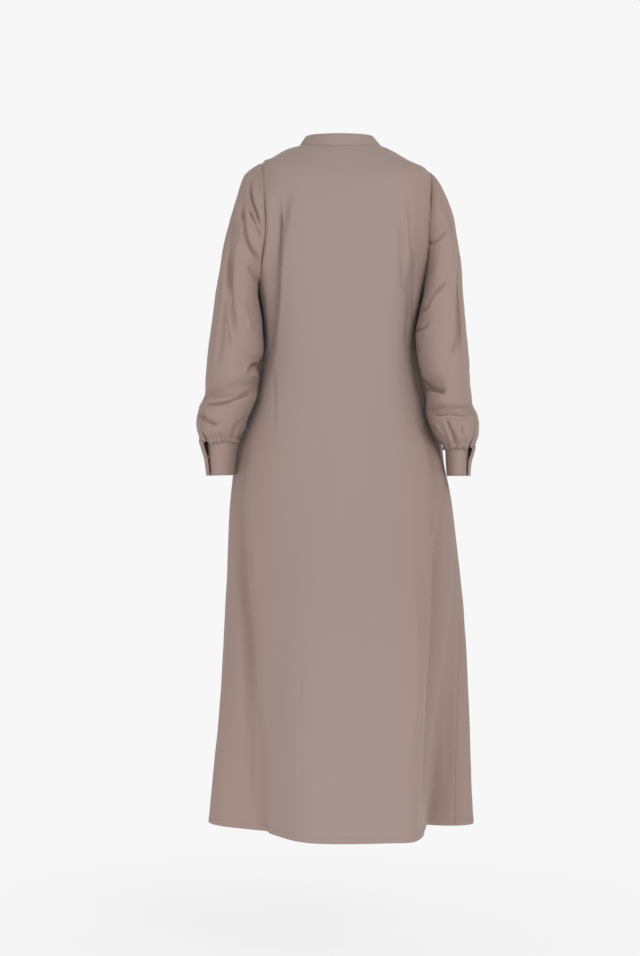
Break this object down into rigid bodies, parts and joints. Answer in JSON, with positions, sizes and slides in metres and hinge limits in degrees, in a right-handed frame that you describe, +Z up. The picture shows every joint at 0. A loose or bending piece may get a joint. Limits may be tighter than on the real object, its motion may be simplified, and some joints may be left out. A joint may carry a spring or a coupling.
{
  "type": "abaya cloak",
  "caption": "Ankle-length A-line abaya cloak with a band collar, a lapped buttoned front and full sleeves gathered into buttoned cuffs, in its worn hollow form.",
  "frame": {"origin": "midway between the tops of the wearer's two shoulders, at the height where the shoulder seams meet the collar", "axes": "+Z up, +X towards the wearer's left, +Y towards the wearer's back"},
  "size_m": [0.5486, 0.384, 1.3504],
  "materials": {
    "cloth": "matte crepe",
    "button": "satin"
  },
  "bodies": {
    "root": {"back_bodice": "cloth", "back_hips": "cloth", "back_skirt": "cloth", "front_left_bodice": "cloth", "front_left_hips": "cloth", "front_left_skirt": "cloth", "front_right_bodice": "cloth", "front_right_hips": "cloth", "front_right_skirt": "cloth", "placket": "cloth", "collar": "cloth", "sleeve_left_upper": "cloth", "sleeve_left_lower": "cloth", "sleeve_right_upper": "cloth", "sleeve_right_lower": "cloth", "cuff_left": "cloth", "cuff_right": "cloth", "button_collar": "button", "button_front_1": "button", "button_front_2": "button", "button_front_3": "button", "button_front_4": "button", "button_front_5": "button", "button_front_6": "button", "button_front_7": "button", "button_front_8": "button", "button_front_9": "button", "button_cuff_left": "button", "button_cuff_right": "button"}
  },
  "joints": []
}
